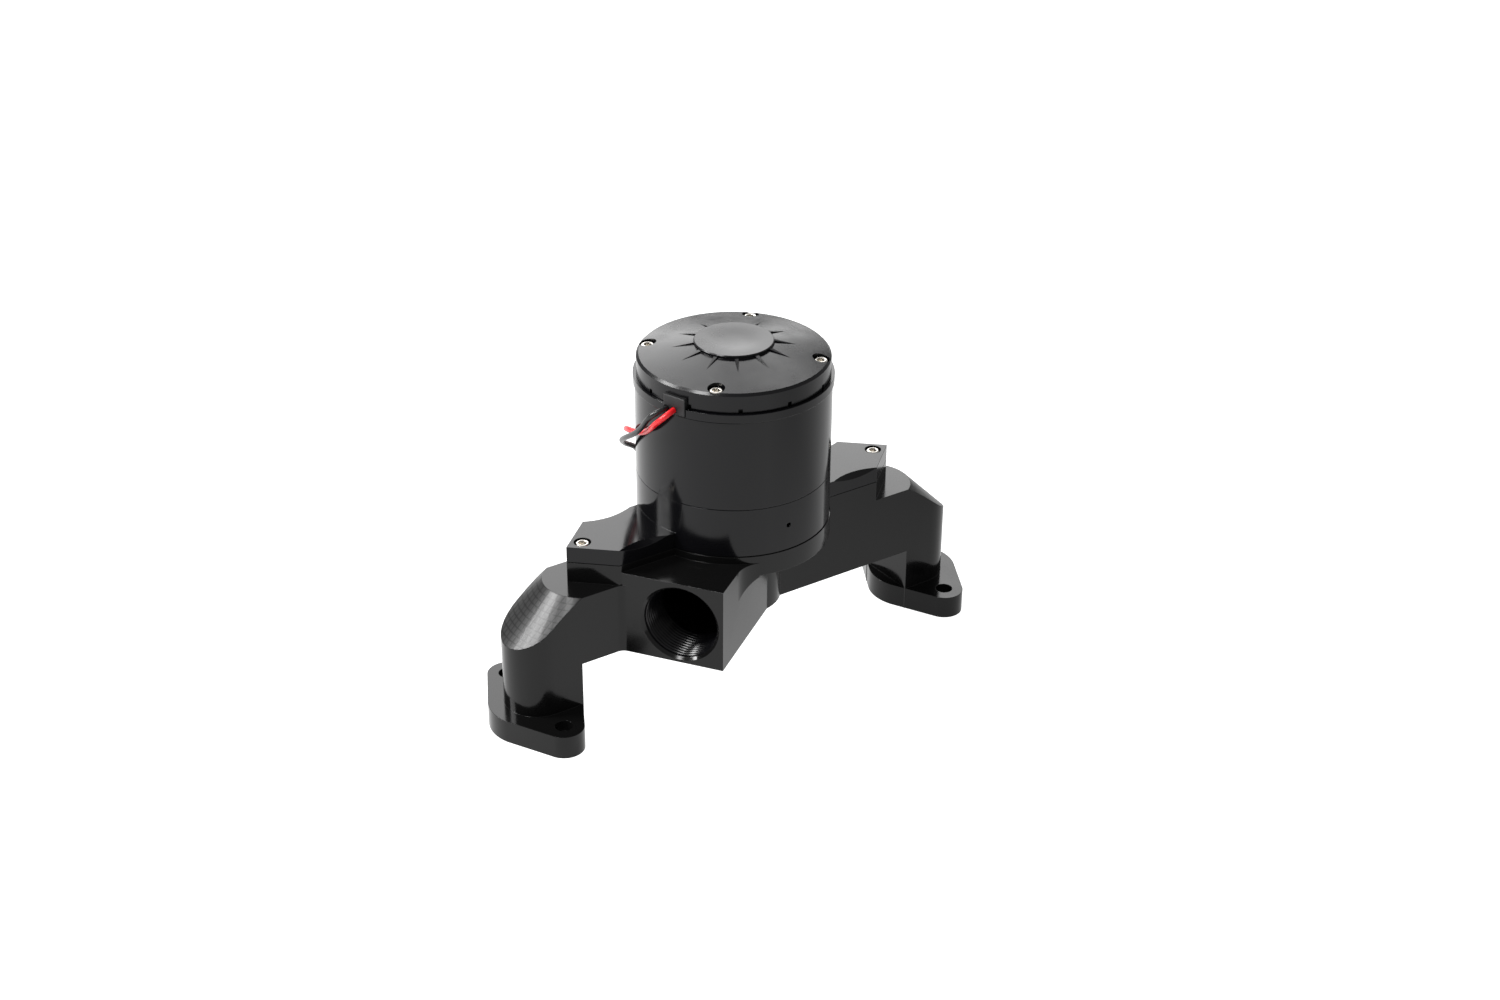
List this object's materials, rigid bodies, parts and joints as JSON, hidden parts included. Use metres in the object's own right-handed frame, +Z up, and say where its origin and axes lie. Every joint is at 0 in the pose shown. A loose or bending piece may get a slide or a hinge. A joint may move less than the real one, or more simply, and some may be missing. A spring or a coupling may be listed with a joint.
{
  "type": "electric engine water pump",
  "caption": "Electric engine water pump: brushed motor on a machined housing with a threaded inlet and two hollow flanged legs.",
  "frame": {"origin": "centre of the footprint on the plane of the two flange faces, under the box of the rigid parts", "axes": "+X along the two arms, +Z up along the motor shaft, inlet port towards -Y and -X"},
  "size_m": [0.3244, 0.1266, 0.2053],
  "materials": {
    "black_anodised": "black hard anodised, machined",
    "stainless": "turned stainless",
    "bearing_steel": "ground",
    "black_rubber": "matt",
    "cast_aluminium": "cast",
    "carbon": "ground carbon",
    "ceramic": "ground alumina",
    "zinc_steel": "zinc plated",
    "ferrite": "sintered ferrite",
    "laminated_steel": "stamped laminations",
    "enamelled_copper": "enamelled wire",
    "copper": "turned copper",
    "phenolic": "phenolic board",
    "red_insulation": "PVC insulation",
    "black_insulation": "PVC insulation"
  },
  "bodies": {
    "frame": {"pump_housing": "black_anodised", "volute_cover": "black_anodised", "cover_o_ring": "black_rubber", "cover_screw_left": "stainless", "cover_screw_right": "stainless", "seal_stationary_seat": "ceramic", "lower_bearing_outer_race": "bearing_steel", "bearing_circlip": "zinc_steel", "upper_bearing_outer_race": "bearing_steel", "bearing_wave_washer": "zinc_steel", "motor_can": "black_anodised", "flux_ring": "zinc_steel", "magnet_1": "ferrite", "magnet_2": "ferrite", "magnet_3": "ferrite", "magnet_4": "ferrite", "brush_plate": "phenolic", "brush_holder_1": "zinc_steel", "brush_1": "carbon", "brush_spring_1": "stainless", "brush_holder_2": "zinc_steel", "brush_2": "carbon", "brush_spring_2": "stainless", "motor_cap": "black_anodised", "tie_screw_1": "stainless", "tie_screw_2": "stainless", "tie_screw_3": "stainless", "tie_screw_4": "stainless", "lead_grommet": "black_rubber", "red_lead": "red_insulation", "black_lead": "black_insulation", "red_lead_terminal": "red_insulation", "black_lead_terminal": "black_insulation"},
    "rotor": {"shaft": "bearing_steel", "impeller": "cast_aluminium", "impeller_nut": "stainless", "seal_rotating_head": "carbon", "lower_bearing_inner_race": "bearing_steel", "upper_bearing_inner_race": "bearing_steel", "armature_core": "laminated_steel", "armature_winding": "enamelled_copper", "commutator": "copper"},
    "lower_cage": {"lower_bearing_balls_and_cage": "bearing_steel"},
    "upper_cage": {"upper_bearing_balls_and_cage": "bearing_steel"}
  },
  "joints": [
    {"name": "rotor_spin", "type": "hinge", "parent": "frame", "child": "rotor", "pos_m": [0, 0.00628, 0.12], "axis": [0, 0, 1], "continuous": true},
    {"name": "lower_cage_spin", "type": "hinge", "parent": "frame", "child": "lower_cage", "pos_m": [0, 0.00628, 0.1193], "axis": [0, 0, 1], "continuous": true},
    {"name": "upper_cage_spin", "type": "hinge", "parent": "frame", "child": "upper_cage", "pos_m": [0, 0.00628, 0.1924], "axis": [0, 0, 1], "continuous": true}
  ],
  "couplings": [
    {"joint": "lower_cage_spin", "follows": "rotor_spin", "ratio": 0.3932},
    {"joint": "upper_cage_spin", "follows": "rotor_spin", "ratio": 0.405}
  ]
}
